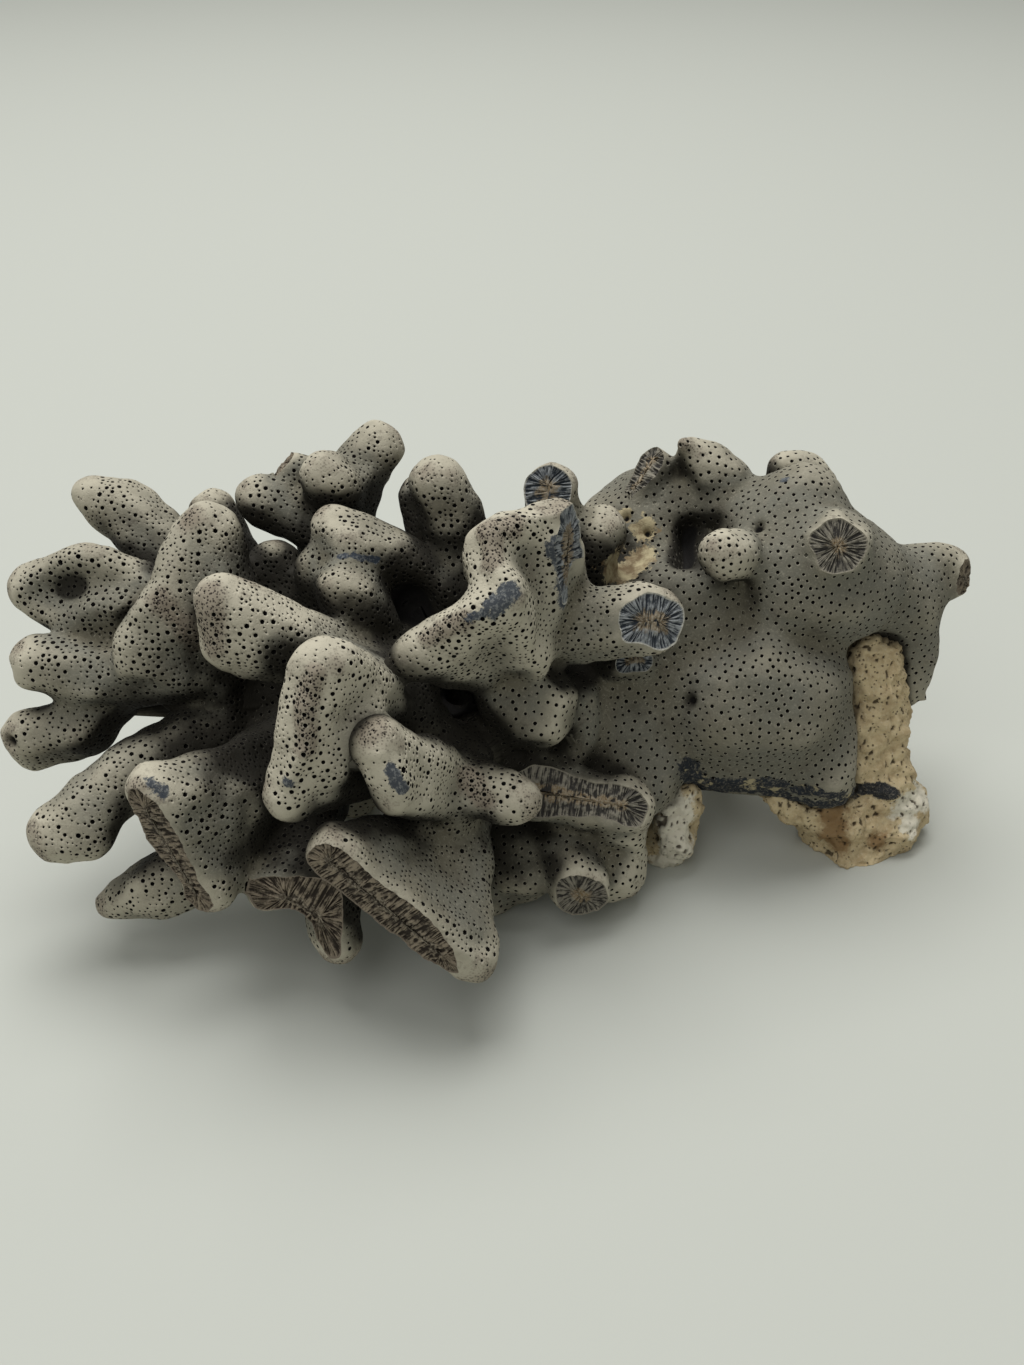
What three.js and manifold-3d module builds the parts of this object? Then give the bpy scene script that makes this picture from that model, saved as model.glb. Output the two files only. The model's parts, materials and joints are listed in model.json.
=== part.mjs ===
// A blue coral skeleton lying on its side, with a remnant of reef rock under its right end.
// Millimetres, +Z up, +X along the coral from its finger tips to its base, -Y the side that shows best.
// The skeleton grew as one piece. It is split at its main forks: each finger, blade and swelling is a solid.
import * as THREE from "three";
import { ConvexGeometry } from "three/addons/geometries/ConvexGeometry.js";
import { mergeVertices } from "three/addons/utils/BufferGeometryUtils.js";
import Module from "manifold-3d";

const SIZE = 1; // scale of the whole coral; 1 gives a piece about 235 mm long
const FIT_GAP = 0.3; // room left between two limbs that meet
const SMALL_BALL = 10.5; // balls under this radius have 12 facets, and larger ones have 60
const BLOCK = 80; // side of the blocks that cut broken ends and feet flat

const skin = new THREE.MeshStandardMaterial({ color: 0x87847a, roughness: 0.85, metalness: 0 });
const worn = new THREE.MeshStandardMaterial({ color: 0x75695a, roughness: 0.9, metalness: 0 });
const rock = new THREE.MeshStandardMaterial({ color: 0xa08c66, roughness: 0.95, metalness: 0 });

const wasm = await Module();
wasm.setup();

function withSharedVertices(geometry) {
  const bare = geometry.clone();
  bare.deleteAttribute("normal");
  bare.deleteAttribute("uv");
  return mergeVertices(bare, 1e-4);
}

function solidFrom(geometry) {
  const merged = withSharedVertices(geometry);
  const mesh = new wasm.Mesh({
    numProp: 3,
    vertProperties: new Float32Array(merged.attributes.position.array),
    triVerts: new Uint32Array(merged.index.array),
  });
  return new wasm.Manifold(mesh);
}

// The corners of a faceted ball of radius 1, pushed out to give back what its facets cut off a round one.
function cornersOf(geometry, fullness) {
  const surface = withSharedVertices(geometry).attributes.position;
  const corners = [];
  for (let i = 0; i < surface.count; i += 1) {
    corners.push(new THREE.Vector3().fromBufferAttribute(surface, i).multiplyScalar(fullness));
  }
  return corners;
}

const COARSE_FULLNESS = 1.12;
const FINE_FULLNESS = 1.05;
const coarseBall = cornersOf(new THREE.DodecahedronGeometry(1), COARSE_FULLNESS);
const fineBall = [
  ...cornersOf(new THREE.DodecahedronGeometry(1), FINE_FULLNESS),
  ...cornersOf(new THREE.IcosahedronGeometry(1), FINE_FULLNESS),
];

// A lobe is the tight skin round two or three balls, each given as [x, y, z, radius].
function lobeSolid(balls, extra) {
  const points = balls.flatMap(([x, y, z, radius]) => {
    const centre = new THREE.Vector3(x, y, z);
    const corners = radius < SMALL_BALL ? coarseBall : fineBall;
    return corners.map((corner) => corner.clone().multiplyScalar(radius + extra).add(centre));
  });
  return solidFrom(new ConvexGeometry(points));
}

function lobesSolid(lobes, extra) {
  return lobes.map((balls) => lobeSolid(balls, extra)).reduce((all, one) => all.add(one));
}

// A block whose one face passes through a point and looks against the given direction.
function blockBeyond([x, y, z], direction) {
  const outward = new THREE.Vector3(...direction).normalize();
  const block = new THREE.BoxGeometry(BLOCK, BLOCK, BLOCK).translate(0, 0, BLOCK / 2);
  block.applyQuaternion(new THREE.Quaternion().setFromUnitVectors(new THREE.Vector3(0, 0, 1), outward));
  return solidFrom(block.translate(x, y, z));
}

// Everything below the surface that the coral rests on.
const FLOOR_SIDE = 400;
const floor = solidFrom(new THREE.BoxGeometry(FLOOR_SIDE, FLOOR_SIDE, BLOCK).translate(0, 0, -BLOCK / 2));
const coral = new THREE.Group();
const placed = [];

// Adds one limb. Earlier limbs keep their shape, and a later one is cut back to clear them.
// flats are broken ends, each a point and the direction that it faces; hollows are lobes taken out.
function limb(name, material, lobes, { flats = [], hollows = [] } = {}) {
  let body = lobesSolid(lobes, 0).subtract(floor);
  for (const [point, direction] of flats) {
    body = body.subtract(blockBeyond(point, direction));
  }
  for (const balls of hollows) {
    body = body.subtract(lobeSolid(balls, 0));
  }
  for (const other of placed) {
    body = body.subtract(other);
  }
  placed.push(lobesSolid(lobes, FIT_GAP));
  const largest = body.decompose().reduce((a, b) => (b.volume() > a.volume() ? b : a));
  const { vertProperties, triVerts } = largest.getMesh();
  const geometry = new THREE.BufferGeometry();
  geometry.setAttribute("position", new THREE.BufferAttribute(vertProperties, 3));
  geometry.setIndex(new THREE.BufferAttribute(triVerts, 1));
  const mesh = new THREE.Mesh(geometry, material);
  mesh.name = name;
  coral.add(mesh);
}

// The swollen base mass on the right.
limb("lower_bulge", skin, [
  [[47, 0, 40, 17], [60, -2, 44, 21.5], [68, -2, 43, 17]],
  [[48, -2, 29, 13], [63, -4, 30, 14]],
]);
limb("upper_bulge", skin, [
  [[71, 12, 69, 21], [84, 12, 68, 14]],
  [[64, 18, 78, 13], [71, 20, 84, 11]],
]);
limb("saddle", skin, [
  [[32, 10, 57, 18], [47, 10, 60, 17]],
  [[27, 4, 49, 16], [45, 2, 44, 16]],
]);
limb("back_dome", skin, [
  [[40, 34, 65, 22], [54, 34, 68, 18]],
  [[25, 26, 72, 10.5], [34, 33, 76, 11], [33, 22, 65, 14]],
], { hollows: [[[46, 16, 80, 5], [50, 10, 70, 6]]] });
limb("right_shoulder", skin, [
  [[99, 16, 58, 11], [93, 16, 62, 13]],
  [[104, 14, 45, 6], [103, 12, 34, 5], [99, 16, 58, 8]],
]);
limb("lower_lobe", skin, [
  [[76, -4, 36, 9], [78, -12, 27, 8]],
  [[66, -6, 23, 6.5], [81, -10, 20, 6]],
]);
limb("front_pillar", skin, [
  [[23, 0, 43, 13], [28, -8, 35, 13]],
  [[28, -8, 35, 12], [33, -16, 27, 9]],
]);

// Knobs and broken stubs on the base mass.
limb("top_knob", skin, [
  [[44, 28, 95, 3.5], [49, 28, 89, 6.5], [54, 28, 86, 6.5]],
  [[50, 24, 80, 6], [54, 28, 86, 6.5]],
]);
limb("ribbed_stub", worn, [[[36, 30, 89, 4.6], [33, 26, 81, 5]]]);
limb("front_knob", skin, [[[57, 6, 77, 6], [49, -4, 84, 5.2]]]);
limb("rear_stub", skin, [[[71, 36, 84, 6.2], [75, 36, 83, 6], [77, 32, 74, 7.5]]], {
  flats: [[[74, 36, 89], [0, 0.1, 1]]],
});
limb("face_stub", skin, [[[75, 2, 82, 9], [75, 14, 72, 12]]], {
  flats: [[[75, -4, 86], [-0.1, -0.8, 0.55]]],
});
limb("right_stub", skin, [[[99, 20, 64, 8], [111, 22, 64, 6.4]]], {
  flats: [[[116.5, 22, 64], [1, -0.2, 0.1]]],
});

// What is left of the reef rock that the coral grew on.
limb("rock_column", rock, [
  [[90, 8, 47, 8.5], [91, 4, 26, 10]],
  [[91, 4, 26, 10], [96, -2, 9, 9.5]],
]);
limb("rock_foot", rock, [
  [[83, -6, 8, 8], [100, -4, 7, 8.5], [89, -11, 0, 7]],
  [[68, -9, 18, 4], [84, -8, 9, 8]],
]);
limb("crumbly_foot", rock, [
  [[41.5, -12, 17, 6], [40.5, -15, 9, 5.5]],
  [[40.5, -15, 9, 5.5], [39.5, -14, 3, 4.6]],
]);

// The trunk and the arm that carry the branches on the left.
limb("main_trunk", skin, [
  [[22, 2, 38, 17], [-3, 4, 40, 16]],
  [[-3, 4, 40, 16], [-33, -4, 46, 14]],
  [[-33, -4, 46, 14], [-61, -12, 48, 12]],
]);
limb("long_arm", skin, [
  [[-36, -36, 73, 7], [-24, -28, 52, 9]],
  [[-24, -28, 52, 9], [0, -16, 32, 11]],
]);

// Upper branches.
limb("tall_finger", skin, [
  [[9, 8, 94, 5.8], [12, 8, 76, 6.5]],
  [[12, 8, 76, 6.5], [14, 2, 55, 8]],
], { flats: [[[8.5, 3.5, 95], [-0.4, -0.8, 0.45]]] });
limb("right_finger", skin, [[[6, -14, 70, 9], [31, -16, 74, 7.2]]], {
  flats: [[[33, -19, 77], [0.35, -0.85, 0.4]]],
});
limb("short_stub", skin, [[[29, -8, 57, 6], [24, -2, 53, 8]]], {
  flats: [[[29, -12, 56], [0.1, -0.95, -0.3]]],
});
limb("round_knob", skin, [[[20, 6, 84, 6.3], [19, 4, 67, 6]]]);
limb("inner_lobe", skin, [
  [[-3, -18, 61, 10], [5, -22, 53, 10]],
  [[12, -12, 48, 9], [16, -14, 42, 7]],
]);
limb("wavy_fin", skin, [
  [[9, -18, 100, 4], [-5, -24, 97, 5], [2, -22, 72, 9]],
  [[-5, -24, 97, 5], [-3, -34, 90, 5], [2, -22, 72, 9]],
  [[-3, -34, 90, 5], [-21, -36, 76, 4], [-9, -24, 68, 7]],
  [[2, -22, 72, 9], [11, -10, 75, 7], [9, -18, 100, 4]],
]);
limb("forked_finger", skin, [
  [[-17, 6, 97, 6.2], [-13, 4, 83, 7.2]],
  [[-13, 4, 83, 7.2], [-8, -4, 60, 9]],
  [[-22, 12, 90, 4.6], [-17, 6, 77, 6.7]],
]);
limb("top_branch", skin, [
  [[-31.5, 24, 99, 4.9], [-39, 20, 91, 7]],
  [[-39, 20, 91, 7], [-44, 14, 79, 9]],
  [[-44, 10, 96.5, 5.5], [-40, 14, 91, 7]],
  [[-44, 14, 79, 9], [-34, 4, 58, 10]],
]);
limb("top_side_lobe", skin, [[[-60, 14, 88.5, 5.6], [-44, 12, 82, 7]]]);
limb("small_top_knob", skin, [[[-53, 18, 94, 4], [-47, 18, 91, 6]]]);
limb("shaded_limb", skin, [
  [[-41, -2, 89, 4.8], [-37, -8, 88, 5], [-27, -5, 83, 6.2]],
  [[-27, -5, 83, 6.2], [-17, -5, 75, 5.8]],
  [[-17, -5, 75, 5.8], [-13, -4, 58, 6.5]],
]);
limb("middle_finger", skin, [
  [[-37, -14, 80, 7.5], [-33, -12, 71, 8.5]],
  [[-33, -12, 71, 8.5], [-22, -10, 56, 9]],
]);
limb("small_finger_right", skin, [[[-45, -6, 81, 5.5], [-43, -6, 58, 7]]]);
limb("small_finger_left", skin, [[[-56, 0, 78, 5.8], [-51, -4, 56, 7]]]);
limb("back_finger", skin, [[[-74, 20, 82, 5.2], [-62, 8, 60, 7]]]);

// Fingers and blades that reach left.
limb("upper_left_finger", skin, [
  [[-100, 16, 88, 5], [-92, 14, 85, 7.2]],
  [[-92, 14, 85, 7.2], [-70, -2, 66, 7]],
]);
limb("broad_blade", skin, [
  [[-69, -6, 90, 7], [-67, -10, 75, 9]],
  [[-69, -6, 90, 7], [-77, -20, 79, 6], [-65, -14, 67, 9]],
  [[-77, -20, 79, 6], [-84, -24, 68, 6], [-68, -14, 56, 9]],
]);
limb("leaf_blade", skin, [
  [[-112, -6, 76, 4.6], [-98, -6, 81.5, 5], [-85, -10, 78, 6]],
  [[-112, -6, 76, 4.5], [-101, -12, 72, 5], [-80, -12, 70, 7]],
]);
limb("left_finger", skin, [
  [[-108, -20, 64, 6], [-96, -22, 62, 7]],
  [[-96, -22, 62, 7], [-76, -18, 60, 7]],
]);
limb("twin_finger", skin, [
  [[-113, -26, 48, 5.5], [-100, -24, 51, 6]],
  [[-112, -24, 43, 5], [-98, -22, 47, 5]],
  [[-100, -24, 51, 6], [-88, -14, 54, 5]],
  [[-88, -14, 54, 5], [-70, -14, 52, 6]],
]);
limb("lower_left_finger", skin, [
  [[-101, -46, 36, 6.8], [-90, -38, 43, 7]],
  [[-95, -47, 35, 4], [-90, -38, 43, 7]],
  [[-90, -38, 43, 7], [-68, -20, 48, 7.5]],
]);

// Arms and plates at the front.
limb("blunt_arm", skin, [
  [[-60, -34, 89, 5.5], [-60, -36, 80, 5.5], [-46, -30, 75, 8]],
  [[-46, -30, 75, 8], [-26, -24, 60, 9]],
]);
limb("forked_blade", skin, [
  [[-38, -50, 84, 5.5], [-43, -56, 70, 5], [-31, -38, 67, 8]],
  [[-43, -56, 70, 5], [-47, -60, 58, 4], [-31, -40, 52, 7]],
]);
limb("middle_blade", skin, [
  [[-27, -56, 69, 4], [-24, -58, 57, 4], [-16, -40, 46, 8]],
  [[-16, -40, 46, 8], [1, -46, 45, 4.5]],
  [[-16, -40, 46, 8], [-14, -44, 33, 6], [-11, -26, 44, 8]],
]);
limb("left_plate", skin, [
  [[-74, -58, 57, 6], [-70, -60, 45, 5], [-60, -44, 47, 9]],
  [[-70, -60, 45, 5], [-65, -60, 33, 5], [-60, -42, 37, 9]],
  [[-60, -43, 46, 9], [-48, -18, 42, 10]],
]);
limb("pointed_finger", skin, [
  [[-94, -44, 12.5, 3.8], [-84, -44, 17, 6.8]],
  [[-84, -44, 17, 6.8], [-66, -38, 22, 7]],
  [[-66, -38, 22, 7], [-56, -34, 34, 7]],
]);
limb("front_plate", skin, [
  [[-37, -66, 49, 5], [-24, -70, 37, 5], [-24, -50, 34, 7.5]],
  [[-24, -70, 37, 5], [-8, -70, 21, 5], [-13, -52, 25, 7]],
  [[-24, -50, 34, 7.5], [-13, -52, 25, 7], [-14, -22, 38, 9]],
]);
limb("low_plate", skin, [
  [[-55, -56, 29, 4.6], [-41, -60, 31, 4.6], [-50, -37, 30, 8]],
  [[-41, -60, 31, 4.6], [-39, -61, 18, 5], [-42, -46, 28, 6.7]],
  [[-50, -37, 30, 8], [-44, -18, 40, 9]],
]);
limb("broken_ridge", worn, [
  [[4, -30, 35, 7], [27, -30, 30, 7]],
  [[4, -30, 35, 7], [14, -14, 34, 9]],
]);
limb("lower_side_lobe", skin, [
  [[20, -16, 24, 10], [25, -26, 23, 9]],
  [[22, -18, 22, 9], [25, -30, 10, 7.3]],
]);
limb("lower_stub", skin, [[[16, -40, 14, 7], [10, -24, 19, 9.5]]], {
  flats: [[[17, -44, 13], [0.1, -0.97, 0]]],
});
limb("under_lobe", skin, [
  [[-8, -30, 5, 9], [-4, -16, 24, 10]],
  [[-4, -16, 24, 10], [2, -30, 13, 10]],
]);

// Broken roots underneath, which it rests on.
limb("rear_rest", rock, [[[48, 32, 44, 12], [50, 38, 6, 9], [56, 38, 0, 7]]]);
limb("left_rest", worn, [[[-30, -2, 36, 10], [-46, 8, 4, 8]]]);

const box = new THREE.Box3().setFromObject(coral);
const middle = box.getCenter(new THREE.Vector3());
coral.position.set(-middle.x, -middle.y, -box.min.z);

const part = new THREE.Group();
part.scale.setScalar(SIZE);
part.add(coral);
export default part;
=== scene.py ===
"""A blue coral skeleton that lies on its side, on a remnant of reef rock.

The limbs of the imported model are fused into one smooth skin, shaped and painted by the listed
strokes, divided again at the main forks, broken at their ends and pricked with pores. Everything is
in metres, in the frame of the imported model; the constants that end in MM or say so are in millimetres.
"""

import json
import math

import bmesh
import bpy
import numpy as np
from bpy.props import FloatProperty, FloatVectorProperty, IntProperty, PointerProperty
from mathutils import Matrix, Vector, kdtree, noise
from mathutils.bvhtree import BVHTree


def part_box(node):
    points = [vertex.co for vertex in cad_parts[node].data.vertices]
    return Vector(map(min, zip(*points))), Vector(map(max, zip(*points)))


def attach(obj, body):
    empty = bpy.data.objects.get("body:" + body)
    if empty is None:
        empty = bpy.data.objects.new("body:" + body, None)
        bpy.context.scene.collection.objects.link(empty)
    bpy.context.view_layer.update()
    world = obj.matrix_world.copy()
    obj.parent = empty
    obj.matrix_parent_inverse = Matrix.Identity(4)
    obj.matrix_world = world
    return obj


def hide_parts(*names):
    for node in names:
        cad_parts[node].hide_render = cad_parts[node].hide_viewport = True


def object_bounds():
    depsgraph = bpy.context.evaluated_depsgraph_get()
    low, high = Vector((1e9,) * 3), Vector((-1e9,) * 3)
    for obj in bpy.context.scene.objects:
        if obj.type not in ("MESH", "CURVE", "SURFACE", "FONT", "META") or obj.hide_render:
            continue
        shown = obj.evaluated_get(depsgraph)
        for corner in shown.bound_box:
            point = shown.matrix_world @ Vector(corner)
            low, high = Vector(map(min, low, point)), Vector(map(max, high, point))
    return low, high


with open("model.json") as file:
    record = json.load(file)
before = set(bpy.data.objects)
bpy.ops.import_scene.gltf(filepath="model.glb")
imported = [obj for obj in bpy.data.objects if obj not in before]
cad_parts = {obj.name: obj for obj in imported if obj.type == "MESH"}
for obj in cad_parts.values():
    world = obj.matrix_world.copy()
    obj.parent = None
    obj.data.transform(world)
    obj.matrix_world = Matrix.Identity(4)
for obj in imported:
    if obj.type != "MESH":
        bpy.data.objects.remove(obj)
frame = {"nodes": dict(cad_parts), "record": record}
CAD_BOX = [list(corner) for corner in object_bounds()]
SLOT_OF = {part["node"]: part["material_slot"] for part in frame["record"]["subparts"]}
ROCKS = {
    "reef_rock": ("rock_column", "rock_foot"),
    "crumbly_rock": ("crumbly_foot",),
    "rear_rock": ("rear_rest",),
}
CORAL_NODES = sorted(name for name in SLOT_OF if SLOT_OF[name] != "reef_rock")
MM = 0.001
SEED = 7

bl_info = {
    "name": "Blue coral skeleton",
    "version": (1, 0, 0),
    "blender": (4, 5, 0),
    "location": "3D View > Sidebar > Coral",
    "description": "Grows the skin, pores, broken ends and rock of a blue coral skeleton",
    "category": "Object",
}

# The rounded mass is the smoothest part, and the blades in front are the most bleached.
MASS = ("lower_bulge", "upper_bulge", "saddle", "back_dome", "right_shoulder", "lower_lobe", "front_pillar")
BLEACHED = ("forked_blade", "wavy_fin", "middle_blade", "blunt_arm", "lower_side_lobe")

# The mass and the lobes round it have small, even pores, and the fingers have mixed ones. In millimetres:
# the least radius of a wide pore and how far it varies, the gap between wide pores and how far that varies
# from place to place, and the gap that a small pore keeps.
EVEN_PORED = MASS + (
    "top_knob", "ribbed_stub", "front_knob", "rear_stub", "face_stub", "right_stub", "main_trunk",
    "broken_ridge", "lower_side_lobe", "lower_stub", "under_lobe", "inner_lobe", "left_rest",
)
EVEN_PORES = {"radius": 0.36, "spread": 0.14, "gap": 1.75, "drift": 0.2, "small_gap": 1.45, "least_room": 0.40}
MIXED_PORES = {"radius": 0.42, "spread": 0.24, "gap": 1.85, "drift": 0.45, "small_gap": 1.0, "least_room": 0.5}
SMALL_RADIUS, SMALL_SPREAD = 0.17, 0.15

# Strokes that raise (above 0) or hollow (below 0) the skin: width and height in millimetres, then the run of
# places they pass through. A place is three fractions of the box of the node that is named before it.
SCULPTING = [
    (2.2, 1.3, "wavy_fin", (0.82, 0.58, 0.98), (0.59, 0.41, 0.95), (0.47, 0.37, 0.95), (0.48, 0.23, 0.86),
     (0.59, 0.09, 0.73), (0.38, 0.04, 0.65), (0.01, 0.09, 0.34)),
    (5.0, -0.7, "wavy_fin", (0.67, 0.36, 0.79), (0.72, 0.33, 0.58), (0.75, 0.30, 0.36)),
    (1.5, 1.7, "forked_blade", (0.43, 0.30, 0.91), (0.35, 0.20, 0.75), (0.35, 0.12, 0.61),
     (0.21, 0.05, 0.44)),
    (2.0, 1.0, "middle_blade", (0.11, 0.06, 0.91), (0.21, 0.03, 0.76)),
    (3.5, -0.9, "wavy_fin", (0.42, 0.18, 0.80), (0.40, 0.30, 0.88)),
    (4.0, -2.6, "shaded_limb", (0.59, 0.17, 0.59), (0.75, 0.13, 0.54)),
    (3.2, -2.6, "middle_finger", (0.66, 0.42, 0.63)),
    (3.0, -4.5, "long_arm", (0.55, 0.63, 0.56), (0.60, 0.55, 0.54)),
    (5.0, 3.2, "forked_blade", (0.72, 0.46, 0.57), (0.61, 0.36, 0.50), (0.51, 0.24, 0.42)),
    (5.0, -2.0, "leaf_blade", (0.33, 0.38, 0.68), (0.50, 0.37, 0.80), (0.67, 0.34, 0.86)),
    (3.5, 2.5, "leaf_blade", (0.52, 0.21, 0.56), (0.67, 0.18, 0.60)),
    (2.5, 1.2, "leaf_blade", (0.12, 0.46, 0.64), (0.33, 0.60, 0.91), (0.59, 0.64, 0.95)),
    (1.5, -4.0, "round_knob", (0.83, 0.34, 0.56)),
    (2.3, -5.5, "back_dome", (0.50, 0.15, 0.77), "saddle", (0.65, 0.67, 0.99), (0.61, 0.50, 0.98)),
    (2.0, 1.4, "wavy_fin", (0.82, 0.45, 0.52), (0.82, 0.45, 0.69), (0.78, 0.44, 0.84)),
    (0.9, -3.0, "back_dome", (0.24, 0.17, 0.87)),
    (0.9, -3.0, "back_dome", (0.33, 0.09, 0.81)),
    (1.0, -3.0, "lower_bulge", (0.22, 0.20, 0.69)),
    (1.2, -3.0, "upper_bulge", (0.18, 0.40, 0.76)),
    (1.5, -4.0, "twin_finger", (0.07, 0.04, 0.54)),
    (1.5, 3.2, "top_knob", (0.08, 0.47, 0.94)),
    (0.9, 2.6, "right_shoulder", (0.84, 0.18, 0.39)),
    (0.8, 1.8, "right_shoulder", (0.90, 0.20, 0.10)),
]

# Layers of paint, each with its strokes: width in millimetres, strength, then the run of places.
PAINTING = {
    "worn_blue": [
        (2.3, 1.0, "wavy_fin", (0.56, 0.10, 0.75), (0.49, 0.05, 0.70)),
        (1.0, 0.8, "wavy_fin", (0.49, 0.05, 0.70), (0.38, 0.04, 0.64)),
        (1.3, 0.9, "shaded_limb", (0.24, 0.01, 0.85), (0.44, 0.07, 0.82)),
        (1.9, 0.9, "forked_blade", (0.21, 0.05, 0.44)),
        (1.2, 1.0, "middle_blade", (0.16, 0.05, 0.86), (0.21, 0.03, 0.76)),
        (2.0, 0.7, "left_plate", (0.14, 0.08, 0.97), (0.21, 0.06, 0.92)),
        (2.8, 1.0, "wavy_fin", (0.82, 0.45, 0.52), (0.82, 0.45, 0.69), (0.78, 0.44, 0.84)),
        (1.6, 0.8, "upper_bulge", (0.32, 0.63, 0.94)),
    ],
    "brown": [
        (2.4, 0.9, "wavy_fin", (0.38, 0.04, 0.64), (0.20, 0.06, 0.50)),
        (3.2, 1.0, "wavy_fin", (0.59, 0.41, 0.95), (0.47, 0.37, 0.95), (0.48, 0.23, 0.86)),
        (3.0, 1.0, "forked_blade", (0.43, 0.30, 0.91), (0.35, 0.20, 0.75), (0.35, 0.12, 0.61)),
        (3.5, 1.0, "middle_blade", (0.58, 0.45, 0.54), (0.68, 0.37, 0.45)),
        (5.0, 1.0, "blunt_arm", (0.06, 0.16, 0.94), (0.06, 0.07, 0.74)),
        (4.5, 0.9, "broad_blade", (0.54, 0.65, 0.97)),
        (4.0, 0.9, "broad_blade", (0.38, 0.21, 0.72), (0.61, 0.16, 0.53)),
        (2.0, 1.0, "top_knob", (0.08, 0.47, 0.94)),
    ],
    "cream": [
        (4.6, 1.0, "round_knob", (0.74, 0.23, 0.53), "saddle", (0.31, 0.49, 0.90), (0.40, 0.58, 0.95)),
        (3.6, 1.0, "back_dome", (0.31, 0.11, 0.83)),
        (2.2, 0.9, "back_dome", (0.23, 0.18, 0.88)),
    ],
    "crust": [
        (3.3, 1.0, "front_pillar", (0.98, 0.26, 0.41), "lower_bulge", (0.34, 0.28, 0.06), (0.47, 0.23, 0.13),
         (0.61, 0.20, 0.14), (0.68, 0.24, 0.09)),
        (3.0, 1.0, "lower_lobe", (0.29, 0.29, 0.19), (0.45, 0.24, 0.19), (0.61, 0.20, 0.18), (0.77, 0.18, 0.23),
         (0.91, 0.30, 0.21)),
        (2.6, 1.0, "lower_bulge", (0.26, 0.23, 0.20), (0.31, 0.25, 0.16), (0.42, 0.19, 0.19),
         (0.55, 0.18, 0.20), (0.66, 0.19, 0.20)),
        (2.0, 1.0, "lower_lobe", (0.30, 0.21, 0.34), (0.47, 0.04, 0.40), (0.78, 0.10, 0.33)),
    ],
    # Painted shade: near-black in the deep cavities between limbs and inside the sculpted holes.
    "dark": [
        (3.4, 0.9, "middle_finger", (0.59, 0.52, 0.71), (0.67, 0.67, 0.60), "shaded_limb", (0.74, 0.28, 0.37)),
        (2.6, 0.9, "long_arm", (0.55, 0.63, 0.56), "middle_finger", (0.92, 0.36, 0.10)),
        (1.3, 1.0, "round_knob", (0.83, 0.34, 0.56)),
        (1.7, 1.0, "back_dome", (0.52, 0.16, 0.77), "saddle", (0.64, 0.60, 0.99)),
        (0.9, 1.0, "back_dome", (0.24, 0.17, 0.87)),
        (0.9, 1.0, "back_dome", (0.33, 0.09, 0.81)),
        (1.0, 1.0, "lower_bulge", (0.22, 0.20, 0.69)),
        (1.2, 1.0, "upper_bulge", (0.18, 0.40, 0.76)),
        (1.5, 1.0, "twin_finger", (0.07, 0.04, 0.54)),
    ],
}
ROCK_PAINTING = {
    "chalk": [
        (5.0, 1.0, "rock_column", (0.81, 0.08, 0.23), "rock_foot", (0.91, 0.56, 0.67)),
        (4.0, 1.0, "rock_foot", (0.86, 0.27, 0.45)),
        (4.0, 1.0, "crumbly_foot", (0.50, 0.10, 0.80), (0.40, 0.10, 0.10)),
    ],
    "rust": [
        (4.5, 1.0, "rock_foot", (0.38, 0.17, 0.72), (0.42, 0.11, 0.30)),
        (3.0, 1.0, "rock_foot", (0.66, 0.15, 0.30)),
        (1.0, 1.0, "rock_column", (0.90, 0.20, 0.22)),
    ],
    "crust": [
        (2.4, 1.0, "rock_column", (0.30, 0.10, 0.33), (0.63, 0.10, 0.32)),
    ],
}

# Broken ends: node -> the way the break faces, the depth broken off in millimetres, the colours.
BREAKS = {
    "tall_finger": ((-0.4, -0.82, 0.40), 3.2, "blue"),
    "right_finger": ((0.35, -0.85, 0.4), 1.6, "blue"),
    "short_stub": ((0.2, -0.92, 0.35), 1.6, "blue"),
    "lower_stub": ((0.1, -0.97, 0.0), 1.2, "slate"),
    "face_stub": ((-0.1, -0.8, 0.55), 2.0, "slate"),
    "right_stub": ((0.8, -0.6, 0.15), 1.8, "brown"),
    "front_plate": ((-0.24, -0.965, -0.03), 3.4, "brown"),
    "low_plate": ((-0.2, -0.94, 0.27), 3.2, "brown"),
    "left_plate": ((-0.45, -0.89, -0.08), 2.8, "brown"),
    "broken_ridge": ((0.05, -0.75, 0.66), 3.0, "slate"),
    "wavy_fin": ((0.86, -0.5, 0.1), 1.6, "blue"),
    "small_top_knob": ((-0.7, 0.0, 0.7), 1.2, "brown"),
    "ribbed_stub": ((-0.5, -0.45, 0.7), 2.2, "slate"),
}


# ---- helpers


def go_to_mode(name):
    bpy.ops.object.mode_set(mode=name)


def deselect_all():
    if bpy.context.object and bpy.context.object.mode != "OBJECT":
        go_to_mode("OBJECT")
    bpy.ops.object.select_all(action="DESELECT")


def make_active(piece):
    deselect_all()
    piece.select_set(True)
    bpy.context.view_layer.objects.active = piece


def read(data, field, width, kind=np.float32):
    values = np.empty(len(data) * width, kind)
    data.foreach_get(field, values)
    return values.reshape(-1, width) if width > 1 else values


def vectors(mesh, field):
    return read(mesh.vertices, field, 3).astype(float)


def write(mesh, name, values):
    """Stores one number for each vertex, for the materials and modifiers to read."""
    layer = mesh.attributes.get(name) or mesh.attributes.new(name, "FLOAT", "POINT")
    layer.data.foreach_set("value", np.ascontiguousarray(values, np.float32))


def place(mesh, points):
    mesh.vertices.foreach_set("co", np.ascontiguousarray(points, np.float32).ravel())
    mesh.update()


def shade_smooth(mesh):
    mesh.polygons.foreach_set("use_smooth", np.ones(len(mesh.polygons), bool))


def apply_modifier(piece, kind, **settings):
    """Adds one modifier with its settings and applies it."""
    modifier = piece.modifiers.new(kind.lower(), kind)
    for key, value in settings.items():
        setattr(modifier, key, value)
    make_active(piece)
    bpy.ops.object.modifier_apply(modifier=modifier.name)


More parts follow.
